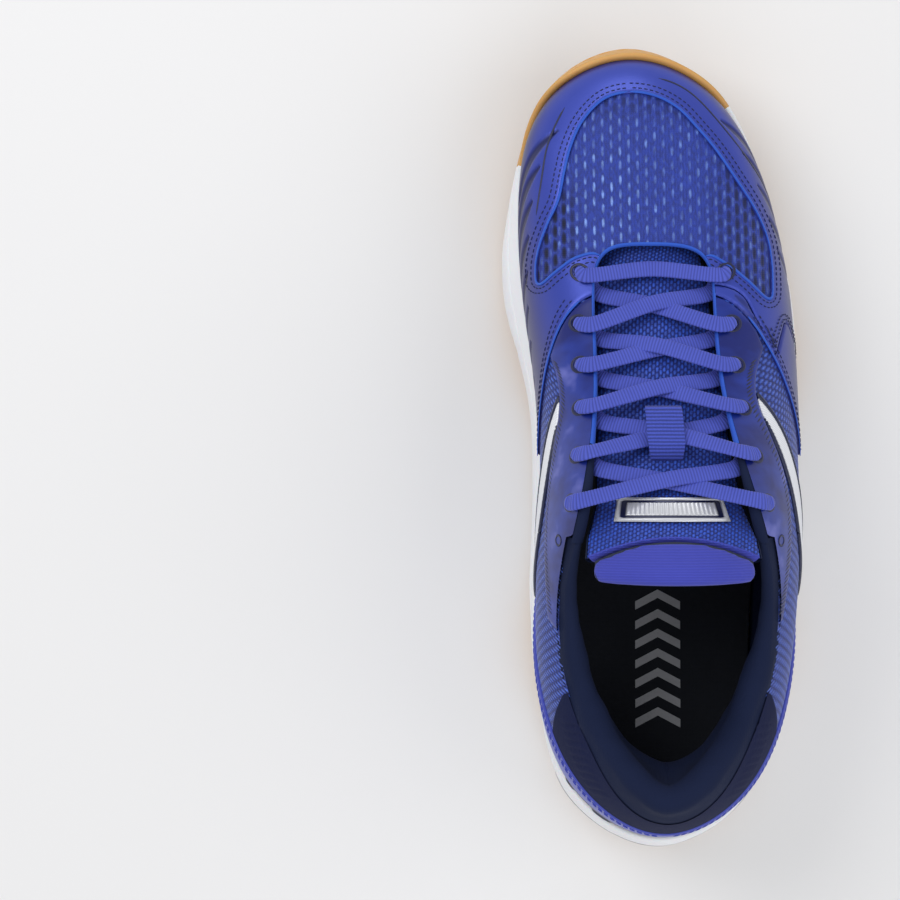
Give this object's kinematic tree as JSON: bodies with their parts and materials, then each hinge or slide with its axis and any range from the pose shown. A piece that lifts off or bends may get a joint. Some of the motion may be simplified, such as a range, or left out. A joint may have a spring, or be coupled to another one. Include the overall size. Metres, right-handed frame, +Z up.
{
  "type": "court shoe",
  "caption": "Low court shoe for the right foot: gum cupsole, ribbed foam midsole, mesh and film upper, padded collar and tongue, removable insole, flat lace.",
  "frame": {"origin": "on the ground under the middle of the shoe's bounding box", "axes": "+Y towards the toe, +X towards the outer (little toe) side, +Z up"},
  "size_m": [0.1114, 0.3006, 0.1393],
  "materials": {
    "gum_rubber": "satin amber gum rubber",
    "white_foam": "moulded white EVA foam with fine ribs",
    "silver_film": "silver film",
    "board": "stitched lasting board",
    "black_foam": "die-cut foam",
    "black_cloth": "woven top cloth",
    "blue_mesh": "knitted mesh",
    "blue_film": "thin welded film with a violet sheen",
    "clear_film": "glossy printed film",
    "navy_film": "navy film",
    "white_film": "white pearl film",
    "stiffener": "thermoplastic sheet",
    "cream_foam": "open-cell padding",
    "navy_cloth": "soft knitted lining",
    "blue_cloth": "smooth stretch cloth",
    "silver_badge": "moulded badge",
    "lace_cord": "flat woven lace"
  },
  "bodies": {
    "shoe": {"outsole": "gum_rubber", "midsole": "white_foam", "heel_strip": "silver_film", "lasting_board": "board", "vamp_mesh": "blue_mesh", "quarter_mesh_lateral": "blue_mesh", "quarter_mesh_medial": "blue_mesh", "rear_quarter": "navy_film", "toe_overlay": "blue_film", "saddle_lateral": "blue_film", "eyestay_lateral": "clear_film", "eyestay_medial": "clear_film", "side_blade_medial": "white_film", "blade_border_medial": "navy_film", "side_blade_lateral": "white_film", "blade_border_lateral": "navy_film", "heel_band": "blue_film", "counter_panel": "navy_film", "heel_counter": "stiffener", "toe_puff": "stiffener", "collar_foam": "cream_foam", "collar_lining": "navy_cloth", "vamp_lining": "navy_cloth", "tongue_face": "blue_mesh", "tongue_foam": "cream_foam", "tongue_back": "navy_cloth", "tongue_badge": "silver_badge", "tongue_lace_loop": "blue_cloth", "lace": "lace_cord"},
    "tongue_end": {"tongue_cuff": "blue_cloth", "tongue_cuff_foam": "cream_foam"},
    "insole": {"sockliner_foam": "black_foam", "sockliner_cover": "black_cloth"}
  },
  "joints": [
    {"name": "tongue_cuff_fold", "type": "hinge", "parent": "shoe", "child": "tongue_end", "pos_m": [0.0022, -0.0322, 0.1279], "axis": [1, 0, 0], "range_deg": [-35, 3]},
    {"name": "insole_lift", "type": "hinge", "parent": "shoe", "child": "insole", "pos_m": [-0.0034, 0.1332, 0.035], "axis": [1, 0, 0], "range_deg": [-6, 0]}
  ]
}
